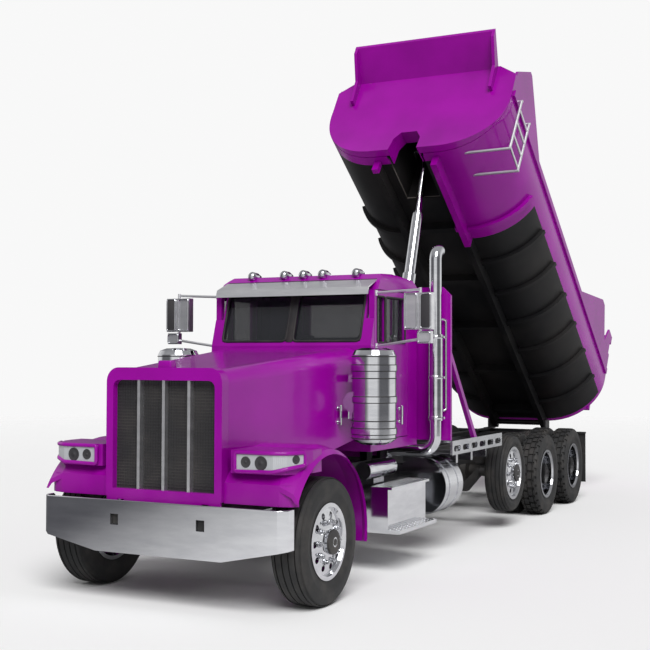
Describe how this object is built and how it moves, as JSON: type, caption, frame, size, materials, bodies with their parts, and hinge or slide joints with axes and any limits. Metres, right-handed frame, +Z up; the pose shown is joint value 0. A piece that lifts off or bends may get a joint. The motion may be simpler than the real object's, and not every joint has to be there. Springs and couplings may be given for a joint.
{
  "type": "dump truck",
  "caption": "Conventional dump truck with a tilting hood, a telescopic hoist and a raised round-bellied tipping bed with a swinging tailgate.",
  "frame": {"origin": "centre of the bounding box at the tyres' ground plane", "axes": "+X forward along the truck, +Y to the driver's left, +Z up"},
  "size_m": [10.9862, 3, 6.1612],
  "materials": {
    "paint": "gloss",
    "bright": "polished",
    "alloy": "satin",
    "frame_black": "satin",
    "iron": "rough",
    "tyre": "matte",
    "rubber": "matte",
    "glass": "clear",
    "lens": "clear",
    "red_lens": "gloss",
    "trim": "matte",
    "seat": "satin"
  },
  "bodies": {
    "chassis": {"frame": "frame_black", "front_bumper": "bright", "engine": "iron", "front_axle": "iron", "lift_axle": "iron", "drive_axles": "iron", "cab": "paint", "cab_glass": "glass", "sun_visor": "bright", "roof_lamps": "bright", "air_cleaners": "bright", "exhaust_stack": "bright", "fuel_tanks": "bright", "step_boxes": "bright", "headache_rack": "paint", "side_decks": "alloy", "seats": "seat", "dashboard": "trim", "mud_flaps": "rubber", "tail_lamps": "red_lens"},
    "hood_assembly": {"hood": "paint", "grille_shell": "paint", "grille_screen": "trim", "grille_bars": "bright", "headlamps": "lens"},
    "left_door": {"door_left": "paint", "door_glass_left": "glass", "mirror_left": "bright"},
    "left_knuckle": {"knuckle_left": "iron"},
    "right_door": {"door_right": "paint", "door_glass_right": "glass", "mirror_right": "bright"},
    "right_knuckle": {"knuckle_right": "iron"},
    "front_left_wheel": {"tyre_front_left": "tyre", "rim_front_left": "bright"},
    "front_right_wheel": {"tyre_front_right": "tyre", "rim_front_right": "bright"},
    "lift_left_wheel": {"tyre_lift_left": "tyre", "rim_lift_left": "bright"},
    "lift_right_wheel": {"tyre_lift_right": "tyre", "rim_lift_right": "bright"},
    "drive_fore_left_wheel": {"tyre_drive_fore_left": "tyre", "rim_drive_fore_left": "bright"},
    "drive_fore_right_wheel": {"tyre_drive_fore_right": "tyre", "rim_drive_fore_right": "bright"},
    "drive_aft_left_wheel": {"tyre_drive_aft_left": "tyre", "rim_drive_aft_left": "bright"},
    "drive_aft_right_wheel": {"tyre_drive_aft_right": "tyre", "rim_drive_aft_right": "bright"},
    "barrel": {"hoist_barrel": "bright"},
    "stage_1": {"hoist_stage_1": "bright"},
    "stage_2": {"hoist_stage_2": "bright"},
    "stage_3": {"hoist_stage_3": "bright"},
    "stage_4": {"hoist_stage_4": "bright"},
    "bed": {"bed_tub": "paint", "bed_bulkhead": "paint", "bed_sills": "frame_black", "bed_ladder": "alloy"},
    "gate": {"tailgate": "paint"}
  },
  "joints": [
    {"name": "front_left_spin", "type": "hinge", "parent": "left_knuckle", "child": "front_left_wheel", "pos_m": [4.77308, 1.09, 0.53], "axis": [0, 1, 0], "continuous": true},
    {"name": "front_right_spin", "type": "hinge", "parent": "right_knuckle", "child": "front_right_wheel", "pos_m": [4.77308, -1.09, 0.53], "axis": [0, 1, 0], "continuous": true},
    {"name": "lift_left_spin", "type": "hinge", "parent": "chassis", "child": "lift_left_wheel", "pos_m": [-0.30692, 1.0825, 0.66], "axis": [0, 1, 0], "continuous": true},
    {"name": "lift_right_spin", "type": "hinge", "parent": "chassis", "child": "lift_right_wheel", "pos_m": [-0.30692, -1.0825, 0.66], "axis": [0, 1, 0], "continuous": true},
    {"name": "drive_fore_left_spin", "type": "hinge", "parent": "chassis", "child": "drive_fore_left_wheel", "pos_m": [-1.72692, 0.9125, 0.53], "axis": [0, 1, 0], "continuous": true},
    {"name": "drive_fore_right_spin", "type": "hinge", "parent": "chassis", "child": "drive_fore_right_wheel", "pos_m": [-1.72692, -0.9125, 0.53], "axis": [0, 1, 0], "continuous": true},
    {"name": "drive_aft_left_spin", "type": "hinge", "parent": "chassis", "child": "drive_aft_left_wheel", "pos_m": [-3.06692, 0.9125, 0.53], "axis": [0, 1, 0], "continuous": true},
    {"name": "drive_aft_right_spin", "type": "hinge", "parent": "chassis", "child": "drive_aft_right_wheel", "pos_m": [-3.06692, -0.9125, 0.53], "axis": [0, 1, 0], "continuous": true},
    {"name": "bed_lift", "type": "hinge", "parent": "chassis", "child": "bed", "pos_m": [-4.37692, 0, 1.06], "axis": [0, -1, 0], "range_deg": [-36, 10]},
    {"name": "tailgate_swing", "type": "hinge", "parent": "bed", "child": "gate", "pos_m": [-5.37508, 0, 2.37431], "axis": [0, 1, 0], "range_deg": [0, 55]},
    {"name": "hoist_tilt", "type": "hinge", "parent": "chassis", "child": "barrel", "pos_m": [1.02308, 0, 0.5], "axis": [0, -1, 0], "range_deg": [-17.04, 5.09]},
    {"name": "stage_1_slide", "type": "slide", "parent": "barrel", "child": "stage_1", "axis": [-0.3244, 0, 0.9459], "range_m": [-0.81769, 0.22858]},
    {"name": "stage_2_slide", "type": "slide", "parent": "stage_1", "child": "stage_2", "axis": [-0.3244, 0, 0.9459], "range_m": [-0.81769, 0.22858]},
    {"name": "stage_3_slide", "type": "slide", "parent": "stage_2", "child": "stage_3", "axis": [-0.3244, 0, 0.9459], "range_m": [-0.81769, 0.22858]},
    {"name": "stage_4_slide", "type": "slide", "parent": "stage_3", "child": "stage_4", "axis": [-0.3244, 0, 0.9459], "range_m": [-0.81769, 0.22858]},
    {"name": "hood_tilt", "type": "hinge", "parent": "chassis", "child": "hood_assembly", "pos_m": [5.36308, 0, 0.85], "axis": [0, 1, 0], "range_deg": [0, 50]},
    {"name": "left_door_swing", "type": "hinge", "parent": "chassis", "child": "left_door", "pos_m": [3.15308, 0.92, 2.17], "axis": [0, 0, -1], "range_deg": [0, 70]},
    {"name": "left_steer", "type": "hinge", "parent": "chassis", "child": "left_knuckle", "pos_m": [4.77308, 0.9, 0.53], "axis": [0, 0, 1], "range_deg": [-32, 32]},
    {"name": "right_door_swing", "type": "hinge", "parent": "chassis", "child": "right_door", "pos_m": [3.15308, -0.92, 2.17], "axis": [0, 0, 1], "range_deg": [0, 70]},
    {"name": "right_steer", "type": "hinge", "parent": "chassis", "child": "right_knuckle", "pos_m": [4.77308, -0.9, 0.53], "axis": [0, 0, 1], "range_deg": [-32, 32]}
  ],
  "couplings": [
    {"joint": "hoist_tilt", "follows": "bed_lift", "ratio": 0.45949},
    {"joint": "stage_1_slide", "follows": "bed_lift", "m_per_rad": 1.2982},
    {"joint": "stage_2_slide", "follows": "bed_lift", "m_per_rad": 1.2982},
    {"joint": "stage_3_slide", "follows": "bed_lift", "m_per_rad": 1.2982},
    {"joint": "stage_4_slide", "follows": "bed_lift", "m_per_rad": 1.2982},
    {"joint": "right_steer", "follows": "left_steer", "ratio": 1}
  ]
}
